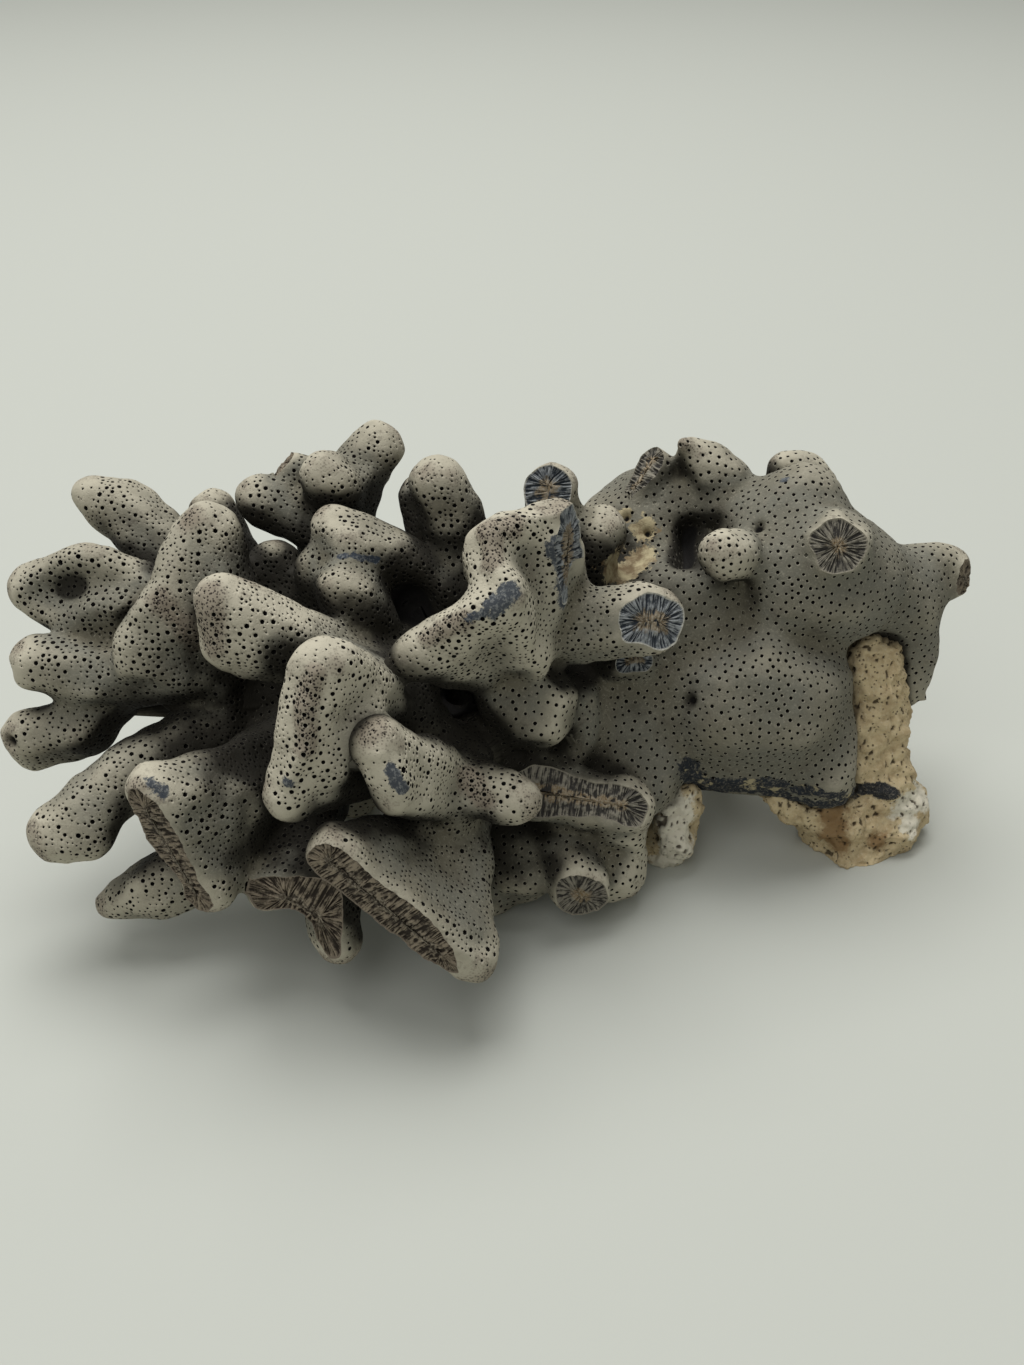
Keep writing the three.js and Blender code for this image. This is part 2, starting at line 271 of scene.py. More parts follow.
def fused(nodes, name, swell, voxel):
    """One closed skin round copies of the solids of the nodes."""
    deselect_all()
    for node in nodes:
        twin = frame["nodes"][node].copy()
        twin.data = twin.data.copy()
        bpy.context.scene.collection.objects.link(twin)
        twin.select_set(True)
        bpy.context.view_layer.objects.active = twin
    if len(nodes) > 1:
        bpy.ops.object.join()
    skin = bpy.context.view_layer.objects.active
    skin.parent = None
    for key in list(skin.keys()):
        del skin[key]
    skin.name = name
    skin.data.name = name
    skin.data.materials.clear()
    go_to_mode("EDIT")
    bpy.ops.mesh.select_all(action="SELECT")
    bpy.ops.mesh.remove_doubles(threshold=1e-6)
    go_to_mode("OBJECT")
    apply_modifier(skin, "DISPLACE", strength=swell, mid_level=0)
    apply_modifier(skin, "REMESH", mode="VOXEL", voxel_size=voxel)
    return skin


def neighbour_average(mesh):
    """Returns a function that averages a value over each vertex's neighbours."""
    edges = read(mesh.edges, "vertices", 2, np.int32)
    here = np.concatenate([edges[:, 0], edges[:, 1]])
    there = np.concatenate([edges[:, 1], edges[:, 0]])
    there = there[np.argsort(here, kind="stable")]
    count = np.bincount(here, minlength=len(mesh.vertices))
    start = np.concatenate([[0], np.cumsum(count)[:-1]])

    def average(values):
        return np.add.reduceat(values.take(there, axis=-1), start, axis=-1) / count

    return average


def relax(average, values, rounds, share=1.0):
    values = np.ascontiguousarray(values.T)
    for _ in range(rounds):
        values = values + 0.5 * share * (average(values) - values)
    return values.T


def round_off(average, points, rounds, give_back, share=1.0):
    """Rounds facets off, then gives back the slow part of what the rounding took."""
    soft = relax(average, points, rounds, share)
    return soft + relax(average, points - soft, give_back, share)


def lumps(points, size, shift=0.0):
    """Smooth random values between about -1 and 1, with lumps of one size in metres."""
    scaled = points / size + shift
    return np.array([noise.noise(Vector(p)) for p in scaled.tolist()])


# ---- strokes


def places_of(run):
    """The places of a run: each is fractions of the box of the node that is named before it."""
    for item in run:
        if isinstance(item, str):
            low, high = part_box(item)
        else:
            yield [low[k] + (high[k] - low[k]) * fraction for k, fraction in enumerate(item)]


def stroke(points, tree, run, width):
    """1 on a stroke through the places of a run, falling smoothly to 0 beside it."""
    path = np.array([tree.find(place)[0] for place in places_of(run)])
    near = np.zeros(len(points))
    reach = 3 * width
    inside = np.where(((points > path.min(0) - reach) & (points < path.max(0) + reach)).all(1))[0]
    local = points[inside]
    distance = np.linalg.norm(local - path[0], axis=1)
    for start, end in zip(path[:-1], path[1:]):
        along = end - start
        part = np.clip((local - start) @ along / (along @ along), 0, 1)
        distance = np.minimum(distance, np.linalg.norm(local - start - part[:, None] * along, axis=1))
    near[inside] = np.exp(-((distance / width) ** 2))
    return near


def paint_layers(points, tree, painting):
    """How strong each layer of paint is at each point."""
    painted = {}
    for layer, strokes in painting.items():
        painted[layer] = np.zeros(len(points))
        for width, strength, *run in strokes:
            painted[layer] = np.maximum(painted[layer], strength * stroke(points, tree, run, width * MM))
    return painted


def tree_of(points):
    tree = kdtree.KDTree(len(points))
    for index, point in enumerate(points.tolist()):
        tree.insert(point, index)
    tree.balance()
    return tree


# ---- division


def solid_faces(nodes):
    """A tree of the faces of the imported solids, and the place in the list of each face's node."""
    corners, triangles, owner = [], [], []
    for index, name in enumerate(nodes):
        mesh = frame["nodes"][name].data
        shift = len(corners)
        corners.extend(vertex.co for vertex in mesh.vertices)
        for polygon in mesh.polygons:
            triangles.append([shift + vertex for vertex in polygon.vertices])
            owner.append(index)
    return BVHTree.FromPolygons(corners, triangles), owner


def nearest_nodes(points):
    """The index in CORAL_NODES of the node that each point lies nearest."""
    tree, owner = solid_faces(CORAL_NODES)
    return np.array([owner[tree.find_nearest(point)[2]] for point in points.tolist()])


def shelter(average, points, normals, reach):
    """How much of the view out from each point the rest of the object blocks, from 0 to 1."""
    tree, _ = solid_faces(sorted(SLOT_OF))
    height = np.linspace(-0.96, 0.96, 26)
    turn = 2.4 * np.arange(26)
    level = np.sqrt(1 - height**2)
    ways = np.column_stack([level * np.cos(turn), level * np.sin(turn), height])
    sampled = np.arange(0, len(points), 5)
    facing = normals[sampled] @ ways.T
    facing[facing < 0.2] = 0
    starts = points[sampled] + 1.6 * MM * normals[sampled]
    blocked = np.zeros(facing.shape)
    ways = [Vector(way) for way in ways]
    for row, column in np.argwhere(facing > 0).tolist():
        blocked[row, column] = tree.ray_cast(starts[row], ways[column], reach)[0] is not None
    weight = np.zeros((len(points), 2))
    weight[sampled, 0] = (blocked * facing).sum(1) / facing.sum(1)
    weight[sampled, 1] = 1
    weight = relax(average, weight, 24)
    return weight[:, 0] / np.maximum(weight[:, 1], 1e-6)


def settle_labels(mesh, labels, rounds, smallest):
    """Straightens the borders between labels and gives small islands to their neighbours."""
    edge_of = read(mesh.loops, "edge_index", 1, np.int32)
    corners = read(mesh.polygons, "loop_total", 1, np.int32)
    face_of = np.repeat(np.arange(len(corners)), corners)
    pairs = face_of[np.argsort(edge_of, kind="stable")].reshape(-1, 2)
    here = np.concatenate([pairs[:, 0], pairs[:, 1]])
    there = np.concatenate([pairs[:, 1], pairs[:, 0]])
    there = there[np.argsort(here, kind="stable")].reshape(-1, 4)
    for _ in range(rounds):
        around = labels[there]
        votes = (around[:, :, None] == around[:, None, :]).sum(2)
        best = votes.argmax(1)
        rows = np.arange(len(labels))
        labels = np.where(votes[rows, best] >= 3, around[rows, best], labels)
    parent = list(range(len(labels)))

    def root(face):
        while parent[face] != face:
            parent[face] = parent[parent[face]]
            face = parent[face]
        return face

    same = labels[pairs[:, 0]] == labels[pairs[:, 1]]
    for a, b in pairs[same].tolist():
        parent[root(a)] = root(b)
    island = np.array([root(face) for face in range(len(labels))])
    size = np.bincount(island, minlength=len(labels))[island]
    for _ in range(40):
        small = size < smallest
        if not small.any():
            break
        large_near = ~small[there]
        take = small & large_near.any(1)
        source = there[np.arange(len(labels)), large_near.argmax(1)]
        labels[take] = labels[source[take]]
        size[take] = smallest
    return labels


def cap_borders(piece, inner_point):
    """Closes a piece inside the coral, with a cone from each open border to a point within."""
    shape = bmesh.new()
    shape.from_mesh(piece.data)
    border = [edge for edge in shape.edges if edge.is_boundary]
    tip = shape.verts.new(inner_point)
    for edge in border:
        edge.smooth = False
        loop = edge.link_loops[0]
        start, end = loop.vert, loop.link_loop_next.vert
        shape.faces.new((end, start, tip))
    if not border:
        shape.verts.remove(tip)
    shape.to_mesh(piece.data)
    shape.free()


class CORAL_PG_skin(bpy.types.PropertyGroup):
    swell: FloatProperty(
        name="Swell", description="How far each limb grows, to close the gaps between limbs",
        default=0.0003, unit="LENGTH")
    voxel: FloatProperty(
        name="Mesh size", description="Side of a face of the skin", default=0.0007, unit="LENGTH")
    smoothing: IntProperty(
        name="Smoothing", description="Rounds of smoothing that take the facets off", default=80)
    give_back: IntProperty(
        name="Give back", description="Rounds over which lost thickness is averaged", default=70)
    mass_smoothing: IntProperty(
        name="Mass smoothing", description="More rounds of smoothing on the rounded mass", default=200)
    ridge_reach: IntProperty(
        name="Ridge reach", description="Rounds that set how broad a ridge or crevice counts", default=180)
    sharpening: FloatProperty(
        name="Sharpening", description="How much the ridges and hollows of the limbs stand out", default=0.3)
    shelter_reach: FloatProperty(
        name="Shelter reach", description="How far off a limb still shades a crevice", default=0.03, unit="LENGTH")
    lump_height: FloatProperty(
        name="Lumps", description="Height of the broad unevenness", default=0.0009, unit="LENGTH")
    dimple_height: FloatProperty(
        name="Dimples", description="Height of the fine unevenness", default=0.00022, unit="LENGTH")


class CORAL_OT_skin(bpy.types.Operator):
    """Fuse the limbs into one smooth skin, shape and paint it, and divide it at the main forks"""

    bl_idname = "coral.skin"
    bl_label = "Grow the skin"

    def execute(self, context):
        setup = context.scene.coral_skin
        skin = fused(CORAL_NODES, "skin", setup.swell, setup.voxel)
        mesh = skin.data
        average = neighbour_average(mesh)
        start = vectors(mesh, "co")
        points = round_off(average, start, setup.smoothing, setup.give_back)
        near = nearest_nodes(points)
        mass, bleached = (
            relax(average, np.isin(near, [CORAL_NODES.index(node) for node in nodes]).astype(float), 30)
            for nodes in (MASS, BLEACHED))
        rounds = setup.mass_smoothing
        points = round_off(average, points, rounds, int(0.85 * rounds), mass)
        place(mesh, points)

        normals = vectors(mesh, "normal")
        tree = tree_of(points)
        painted = paint_layers(points, tree, PAINTING)
        height = setup.lump_height * (1.25 - 0.6 * mass) * lumps(points, 8 * MM)
        height += setup.dimple_height * (lumps(points, 2.6 * MM, 5) + 2 * (1 - mass) * lumps(points, 4.5 * MM, 6))
        wide = relax(average, points, setup.ridge_reach)
        ridge = np.einsum("ij,ij->i", points - wide, normals) / MM
        height += setup.sharpening * (1 - mass) * (1 + 0.6 * bleached) * ridge * MM
        rough = lumps(points, 1.6 * MM, 11)
        height += 1.3 * MM * painted["crust"] * (rough + 0.35) - 0.7 * MM * painted["cream"] * (rough + 0.8)
        for width, rise, *run in SCULPTING:
            height += rise * MM * stroke(points, tree, run, width * MM)
        points = points + normals * relax(average, height, 2)[:, None]
        low, high = np.array(CAD_BOX)
        points = np.clip(points, low, high)
        place(mesh, points)

        normals = vectors(mesh, "normal")
        write(mesh, "ridge", ridge)
        write(mesh, "shelter", shelter(average, points, normals, setup.shelter_reach))
        tree = tree_of(points)
        write(mesh, "bleached", bleached)
        write(mesh, "mass", mass)
        for layer, values in painted.items():
            write(mesh, layer, values)

        labels = nearest_nodes(read(mesh.polygons, "center", 3))
        labels = settle_labels(mesh, labels, 8, 250)
        self.seed_pores(mesh, points, labels, tree, painted, ridge)
        for name in CORAL_NODES:
            mesh.materials.append(bpy.data.materials.new(name))
        mesh.polygons.foreach_set("material_index", labels.astype(np.int32))
        make_active(skin)
        go_to_mode("EDIT")
        bpy.ops.mesh.separate(type="MATERIAL")
        go_to_mode("OBJECT")
        for piece in context.selected_objects:
            node = piece.data.materials[0].name
            piece.name = f"coral_{node}"
            piece.data.name = piece.name
            piece.data.materials.clear()
            centre = read(frame["nodes"][node].data.vertices, "co", 3).mean(0)
            cap_borders(piece, centre)
            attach(piece, "root")
            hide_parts(node)
        for name in CORAL_NODES:
            bpy.data.materials.remove(bpy.data.materials[name])
        return {"FINISHED"}

    def seed_pores(self, mesh, points, labels, tree, painted, ridge):
        """Marks the vertices that become pores; the weight is the pore's radius in millimetres."""
        rng = np.random.default_rng(SEED)
        edges = read(mesh.edges, "vertices", 2, np.int32)
        lengths = np.linalg.norm(points[edges[:, 0]] - points[edges[:, 1]], axis=1) / MM
        room = np.full(len(points), 9.0)
        np.minimum.at(room, edges.ravel(), np.repeat(lengths, 2))
        room *= 0.9
        corner = read(mesh.loops, "vertex_index", 1, np.int32)
        corner_label = np.repeat(labels, read(mesh.polygons, "loop_total", 1, np.int32))
        least = np.full(len(points), 999)
        most = np.full(len(points), -1)
        np.minimum.at(least, corner, corner_label)
        np.maximum.at(most, corner, corner_label)
        open_here = (least == most) & (room > 0.3)
        bare = np.maximum.reduce([painted[layer] for layer in PAINTING if layer != "brown"])
        open_here &= bare < 0.45
        for node, (direction, depth, _) in BREAKS.items():
            mine = np.where(most == CORAL_NODES.index(node))[0]
            along = points[mine] @ np.array(Vector(direction).normalized())
            open_here[mine[along > along.max() - (depth + 0.9) * MM]] = False
        even = np.isin(most, [CORAL_NODES.index(node) for node in EVEN_PORED])
        kind = {key: np.where(even, EVEN_PORES[key], MIXED_PORES[key]) for key in EVEN_PORES}
        patchy = lumps(points, 14 * MM, 3)
        radius = np.zeros(len(points))
        order = rng.permutation(len(points)).tolist()
        draw = rng.random(len(points))
        places = points.tolist()
        taken_large = ~open_here | (room < kind["least_room"])
        taken_large |= ~even & (ridge + 0.5 * patchy > 1.5)
        taken_small = ~open_here
        gap_large = (kind["gap"] - kind["drift"] * patchy) * MM
        gap_small = kind["small_gap"] * MM
        wide = kind["radius"] + kind["spread"] * draw
        for index in order:
            if not taken_large[index]:
                radius[index] = min(wide[index], room[index])
                for _, other, distance in tree.find_range(places[index], gap_large[index]):
                    taken_large[other] = True
                    if distance < gap_small[index]:
                        taken_small[other] = True
        keep = np.where(even, 0.3, np.where(ridge > 1.5, 0.35, 0.8))
        for index in order:
            if not taken_small[index]:
                if draw[index] < keep[index]:
                    radius[index] = SMALL_RADIUS + SMALL_SPREAD * rng.random()
                for _, other, _ in tree.find_range(places[index], gap_small[index]):
                    taken_small[other] = True
        write(mesh, "bevel_weight_vert", radius)


# ---- broken ends


# How far apart the points round a ring of a break stand, and the rings.
POINT_GAP = 0.15 * MM
RING_GAP = 0.28 * MM


def loops_of(edges):
    """Sorts boundary edges into closed loops of vertices."""
    left = dict.fromkeys(edges)
    loops = []
    while left:
        edge = left.popitem()[0]
        loop = [edge.verts[0], edge.verts[1]]
        while True:
            following = [e for e in loop[-1].link_edges if e in left]
            if not following:
                break
            del left[following[0]]
            loop.append(following[0].other_vert(loop[-1]))
        if loop[0] is loop[-1]:
            loop.pop()
        loops.append(loop)
    return loops


def evenly(outline, count):
    """Points at even steps round a closed outline."""
    closed = np.vstack([outline, outline[:1]])
    travelled = np.concatenate([[0], np.cumsum(np.linalg.norm(np.diff(closed, axis=0), axis=1))])
    steps = np.linspace(0, travelled[-1], count, endpoint=False)
    return np.column_stack([np.interp(steps, travelled, closed[:, k]) for k in range(3)]), travelled[-1]


def ring_noise(turn, radius, height):
    """Noise round a circle, without a seam."""
    return np.array([noise.noise(Vector((radius * math.cos(a), radius * math.sin(a), height))) for a in turn])


def fibrous_cap(shape, loop, facing, layers, fibre_width, relief):
    """Fills the outline of a break with fibres that run in from its rim to its middle."""
    outline = np.array([vert.co[:] for vert in loop])
    ragged = 0.35 * MM * (lumps(outline, 1.4 * MM, 6) + 0.6 * lumps(outline, 0.6 * MM, 7))
    outline = outline + ragged[:, None] * facing
    for vert, spot_on_rim in zip(loop, outline.tolist()):
        vert.co = spot_on_rim
    length = evenly(outline, 8)[1]
    count = max(24, int(length / POINT_GAP))
    rim, _ = evenly(outline, count)
    middle = rim.mean(0)
    spread = np.linalg.eigh(np.cov((rim - middle).T))[1]
    long_axis, short_axis = spread[:, 2], np.cross(facing, spread[:, 2])
    half_long = np.abs((rim - middle) @ long_axis).max()
    half_short = np.abs((rim - middle) @ short_axis).max()
    reach = max(0.0, half_long - half_short)
    along = np.clip((rim - middle) @ long_axis, -reach, reach)
    wander = lumps(rim, 1.5 * MM, 8)[:, None] * long_axis + lumps(rim, 1.5 * MM, 9)[:, None] * short_axis
    target = middle + along[:, None] * long_axis + 0.9 * MM * wander
    rings = max(7, int(half_short / RING_GAP))
    turn = np.linspace(0, 2 * math.pi, count, endpoint=False)
    rounds = length / (2 * math.pi * fibre_width)
    inward_layer, fibre_layer = layers
    previous = loop
    edges = [shape.edges.get((loop[k], loop[(k + 1) % len(loop)])) for k in range(len(loop))]
    for ring in range(rings):
        part = 0.035 + 0.93 * ring / (rings - 1)
        fine = ring_noise(turn, rounds, 1.5 * part)
        broad = ring_noise(turn, 0.4 * rounds, 3 + 4 * part)
        fibre = np.clip(0.5 + 1.1 * (fine * (1 - 0.5 * part) + broad * (0.3 + 0.5 * part)), 0, 1)
        sink = -0.35 * min(1, part * 8) + 0.25 * part
        swell = relief * (fibre - 0.5) * min(1, 0.3 + part * 6)
        spots = rim * (1 - part) + target * part + ((sink + swell) * MM)[:, None] * facing
        verts = []
        for k in range(count):
            vert = shape.verts.new(spots[k])
            vert[inward_layer] = part
            vert[fibre_layer] = fibre[k]
            verts.append(vert)
        if ring == 0:
            new_edges = [shape.edges.new((verts[k], verts[(k + 1) % count])) for k in range(count)]
            made = bmesh.ops.bridge_loops(shape, edges=edges + new_edges)["faces"]
        else:
            made = [
                shape.faces.new((previous[k], previous[(k + 1) % count], verts[(k + 1) % count], verts[k]))
                for k in range(count)]
        for face in made:
            face.material_index = 2
            face.smooth = True
        previous = verts
    core = shape.faces.new(previous)
    core.material_index = 2
    bmesh.ops.triangulate(shape, faces=[core])
    return outline


class CORAL_OT_breaks(bpy.types.Operator):
    """Break off the ends of the broken limbs and fill the breaks with fibres"""

    bl_idname = "coral.breaks"
    bl_label = "Break the ends"

    def execute(self, context):
        setup = context.scene.coral_breaks
        for node, (direction, depth, look) in BREAKS.items():
            piece = bpy.data.objects[f"coral_{node}"]
            facing = Vector(direction).normalized()
            shape = bmesh.new()
            shape.from_mesh(piece.data)
            layers = (shape.verts.layers.float.new("inward"), shape.verts.layers.float.new("fibre"))
            tip = max(vert.co.dot(facing) for vert in shape.verts)
            bmesh.ops.bisect_plane(
                shape, geom=shape.verts[:] + shape.edges[:] + shape.faces[:], dist=1e-7,
                plane_co=facing * (tip - depth * MM), plane_no=facing, clear_outer=True)
            rim = [edge for edge in shape.edges if edge.is_boundary]
            for edge in rim:
                edge.smooth = False
            for loop in loops_of(rim):
                if len(loop) > 12:
                    fibrous_cap(shape, loop, np.array(facing), layers, setup.fibre_width, setup.relief)
            bmesh.ops.holes_fill(shape, edges=[edge for edge in rim if edge.is_boundary])
            bmesh.ops.recalc_face_normals(shape, faces=shape.faces)
            shape.to_mesh(piece.data)
            shape.free()
        return {"FINISHED"}


class CORAL_PG_breaks(bpy.types.PropertyGroup):
    fibre_width: FloatProperty(
        name="Fibre width", description="Width of a fibre at the rim of a break", default=0.00032, unit="LENGTH")
    relief: FloatProperty(
        name="Relief", description="Height of the fibres in millimetres", default=0.65)


# ---- pores


class CORAL_PG_pores(bpy.types.PropertyGroup):
    depth: FloatProperty(name="Depth", description="How deep a pore goes", default=0.0011, unit="LENGTH")
    taper: FloatProperty(
        name="Taper", description="How much narrower a pore is at its bottom", default=0.00006, unit="LENGTH")
    lip_area: FloatProperty(
        name="Lip area", description="Smallest pore with a pale rim, in square millimetres", default=0.3)


class CORAL_OT_pores(bpy.types.Operator):
    """Open a round pore at each marked vertex of the skin"""

    bl_idname = "coral.pores"
    bl_label = "Prick the pores"

    def execute(self, context):
        setup = context.scene.coral_pores
        for node in CORAL_NODES:
            piece = bpy.data.objects[f"coral_{node}"]
            pit = bpy.data.materials["pore_pit"]
            while len(piece.data.materials) < 3:
                piece.data.materials.append(pit)
            apply_modifier(
                piece, "BEVEL", affect="VERTICES", limit_method="WEIGHT", width=MM, segments=2,
                profile=0.086, material=1, use_clamp_overlap=False)
            go_to_mode("EDIT")
            bpy.ops.mesh.select_all(action="DESELECT")
            go_to_mode("OBJECT")
            index = read(piece.data.polygons, "material_index", 1, np.int32)
            piece.data.polygons.foreach_set("select", index == 1)
            go_to_mode("EDIT")
            bpy.ops.mesh.select_mode(type="FACE")
            bpy.ops.mesh.dissolve_faces()
            go_to_mode("OBJECT")
            self.mark_lips(piece.data, setup.lip_area)
            go_to_mode("EDIT")
            bpy.ops.mesh.inset(thickness=setup.taper, depth=-setup.depth, use_individual=True)
            go_to_mode("OBJECT")
            shade_smooth(piece.data)
        return {"FINISHED"}

    def mark_lips(self, mesh, least_area):
        """Marks the rims of the wider pores, which are paler than the skin."""
        area = read(mesh.polygons, "area", 1) / MM**2
        wide = (read(mesh.polygons, "material_index", 1, np.int32) == 1) & (area > least_area)
        lip = np.zeros(len(mesh.vertices))
        wide = np.repeat(wide, read(mesh.polygons, "loop_total", 1, np.int32))
        lip[read(mesh.loops, "vertex_index", 1, np.int32)[wide]] = 1
        write(mesh, "lip", lip)


# ---- materials


class Value:
    """A socket on which Python's operators add Math nodes."""

    def __init__(self, paint, socket):
        self.paint = paint
        self.socket = socket

    def maths(self, operation, *values):
        return self.paint.node("ShaderNodeMath", {"operation": operation}, dict(enumerate(values)))

    def __add__(self, other):
        return self.maths("ADD", self, other)

    def __sub__(self, other):
        return self.maths("SUBTRACT", self, other)

    def __rsub__(self, other):
        return self.maths("SUBTRACT", other, self)

    def __mul__(self, other):
        return self.maths("MULTIPLY", self, other)

    __radd__ = __add__
    __rmul__ = __mul__


class Paint:
    """One material; every node but the maths comes from its node method."""

    def __init__(self, name, roughness):
        self.material = bpy.data.materials.new(name)
        self.material.use_nodes = True
        self.tree = self.material.node_tree
        self.shader = self.tree.nodes["Principled BSDF"]
        self.shader.inputs["Roughness"].default_value = roughness
        self.shader.inputs["Specular IOR Level"].default_value = 0.25
        self.place = self.node("ShaderNodeTexCoord", {}, {}, "Object")

    def feed(self, socket, value):
        if isinstance(value, Value):
            self.tree.links.new(value.socket, socket)
        else:
            socket.default_value = value

    def node(self, kind, settings, inputs, output=0):
        node = self.tree.nodes.new(kind)
        for key, value in settings.items():
            setattr(node, key, value)
        for key, value in inputs.items():
            self.feed(node.inputs[key], value)
        return Value(self, node.outputs[output])

    def blotches(self, size, detail=2.0, roughness=0.5):
        """Noise between 0 and 1 whose blotches have one size in metres."""
        return self.node("ShaderNodeTexNoise", {}, {
            "Vector": self.place, "Scale": 1 / size, "Detail": detail, "Roughness": roughness})

    def grains(self, size, randomness=1.0):
        """Distance from the middle of grains of one size in metres."""
        return self.node("ShaderNodeTexVoronoi", {}, {
            "Vector": self.place, "Scale": 1 / size, "Randomness": randomness})

    def layer(self, name):
        return self.node("ShaderNodeAttribute", {"attribute_name": name}, {}, "Fac")

    def step(self, value, start, end):
        """0 below the start and 1 above the end, smooth between them."""
        return self.node("ShaderNodeMapRange", {"interpolation_type": "SMOOTHSTEP"}, {
            "Value": value, "From Min": start, "From Max": end})

    def mix(self, factor, first, second):
        colours = [c if isinstance(c, Value) else (*c, 1) for c in (first, second)]
        return self.node("ShaderNodeMix", {"data_type": "RGBA"}, {0: factor, 6: colours[0], 7: colours[1]}, 2)

    def coat(self, mask, colour):
        """Lays a colour over what is painted so far, where the mask is 1."""
        self.base = self.mix(mask, self.base, colour)

    def finish(self, colour, height=None, depth=0.0002, strength=0.6):
        self.feed(self.shader.inputs["Base Color"], colour)
        if height is not None:
            bump = self.node("ShaderNodeBump", {}, {"Strength": strength, "Distance": depth, "Height": height})
            self.feed(self.shader.inputs["Normal"], bump)
        return self.material


class CORAL_PG_colours(bpy.types.PropertyGroup):
    grey: FloatVectorProperty(
        name="Grey", description="Colour of the plain skin", subtype="COLOR", default=(0.196, 0.179, 0.131))
    # Painted shade: the olive darkens the crevices of the skin, where shade falls.
    olive: FloatVectorProperty(
        name="Olive", description="Colour in the crevices", subtype="COLOR", default=(0.150, 0.134, 0.092))
    pale: FloatVectorProperty(
        name="Pale", description="Colour of tips and ridges", subtype="COLOR", default=(0.487, 0.450, 0.350))
    blue_grey: FloatVectorProperty(
        name="Blue grey", description="Colour of the cold patches", subtype="COLOR", default=(0.168, 0.168, 0.140))
    brown: FloatVectorProperty(
        name="Brown", description="Colour of the stippled tips", subtype="COLOR", default=(0.165, 0.125, 0.092))
    slate: FloatVectorProperty(
        name="Slate blue", description="Colour of freshly broken coral", subtype="COLOR",
        default=(0.022, 0.033, 0.052))
    cream: FloatVectorProperty(
        name="Cream", description="Colour of the eroded patch", subtype="COLOR", default=(0.42, 0.36, 0.22))
    # Painted shade: the near-black inside the pores stands in for the shade in these deep holes.
    pit: FloatVectorProperty(
        name="Pore", description="Colour inside the pores", subtype="COLOR", default=(0.008, 0.007, 0.006))
    rock: FloatVectorProperty(
        name="Rock", description="Colour of the reef rock", subtype="COLOR", default=(0.61, 0.495, 0.30))


def skin_material(colours):
    """Grey skin: painted shade in olive in the crevices and near-black where sheltered, pale on the ridges and paler
    still where open as painted light, brown stipple and blue-black wear on tips.
    """
    paint = Paint("porous_skin", 0.82)
    ridge = paint.layer("ridge")
    wide = paint.blotches(13 * MM, 3)
    middle = paint.blotches(4.5 * MM, 5, 0.65)
    fine = paint.blotches(0.7 * MM, 3, 0.65)
    cool = paint.step(0.5 * ridge + 2.5 * (wide - 0.5), 1.0, -0.2)
    paint.base = paint.mix(cool * 0.7, colours.grey, colours.blue_grey)
    # Painted shade: olive laid into the crevices and hollows, where the ridge measure is low.
    hollow = paint.step(0.9 * (middle - 0.5) - ridge, -0.5, 1.0)
    paint.coat(hollow * 0.8, colours.olive)
    # The pale of ridges and bleached blades is the skin's own colour; the extra share where the skin is open and
    # unsheltered is painted light.
    open_light = paint.step(paint.layer("shelter"), 0.34, 0.06)
    pale = paint.step(ridge + 1.2 * (middle - 0.5) + 1.1 * paint.layer("bleached"), 0.4, 1.9)
    paint.coat(pale * (0.25 + 0.7 * open_light), colours.pale)
    smudge = paint.step(0.6 * middle + 0.4 * fine, 0.52, 0.66)
    paint.coat(smudge * 0.6, (0.085, 0.072, 0.058))
    paint.coat(paint.step(fine, 0.5, 0.75) * 0.35, colours.pale)
    crest = paint.step(ridge + 3 * (paint.blotches(9 * MM, 3) - 0.5), 1.5, 2.4)
    worn = paint.step(paint.layer("brown") + 0.9 * (middle - 0.5), 0.3, 0.8)
    brown = worn.maths("MAXIMUM", worn, crest * 0.85)
    paint.coat(brown * 0.6, colours.brown)
    stipple = paint.grains(0.62 * MM)
    dots = paint.step(stipple + 0.4 * (fine - 0.5), 0.48, 0.26) * brown
    paint.coat(dots * 0.95, (0.025, 0.018, 0.014))
    paint.coat(paint.layer("mass") * 0.16, (0.045, 0.042, 0.031))
    # Painted shade: near-black laid where the rest of the coral shelters the skin, in crevices and under limbs; it
    # also dims the pale pore rims there.
    shelter_shade = paint.step(paint.layer("shelter") + 0.3 * (middle - 0.5), 0.18, 0.52)
    paint.coat(shelter_shade * 0.95, (0.014, 0.012, 0.008))
    paint.coat(paint.step(paint.layer("lip"), 0.45, 0.95) * (0.6 - 0.45 * shelter_shade), colours.pale)
    rag = 1.9 * (paint.blotches(2.4 * MM, 5, 0.75) - 0.5)
    blue = paint.step(paint.layer("worn_blue") + rag, 0.42, 0.62)
    paint.coat(blue * 0.92, paint.mix(paint.step(fine, 0.48, 0.66), colours.slate, (0.16, 0.17, 0.175)))
    crust = paint.step(paint.layer("crust") + rag, 0.38, 0.55)
    crust_mix = paint.mix(paint.step(fine, 0.5, 0.66), (0.020, 0.024, 0.030), (0.13, 0.12, 0.10))
    crust_mix = paint.mix(paint.step(middle, 0.54, 0.62) * 0.85, crust_mix, colours.cream)
    paint.coat(crust, crust_mix)
    cream = paint.step(paint.layer("cream") + rag, 0.40, 0.55)
    paint.coat(cream, paint.mix(paint.step(middle, 0.35, 0.6), (0.17, 0.12, 0.065), colours.cream))
    # Painted shade: the cavity strokes get the near-black pore colour.
    paint.coat(paint.step(paint.layer("dark"), 0.3, 0.7), colours.pit)
    height = fine * 0.7 + paint.step(stipple, 0.1, 0.4) * 0.4 + 0.6 * crust * paint.blotches(1.2 * MM, 4, 0.7)
    return paint.finish(paint.base, height, 0.00025, 0.55)


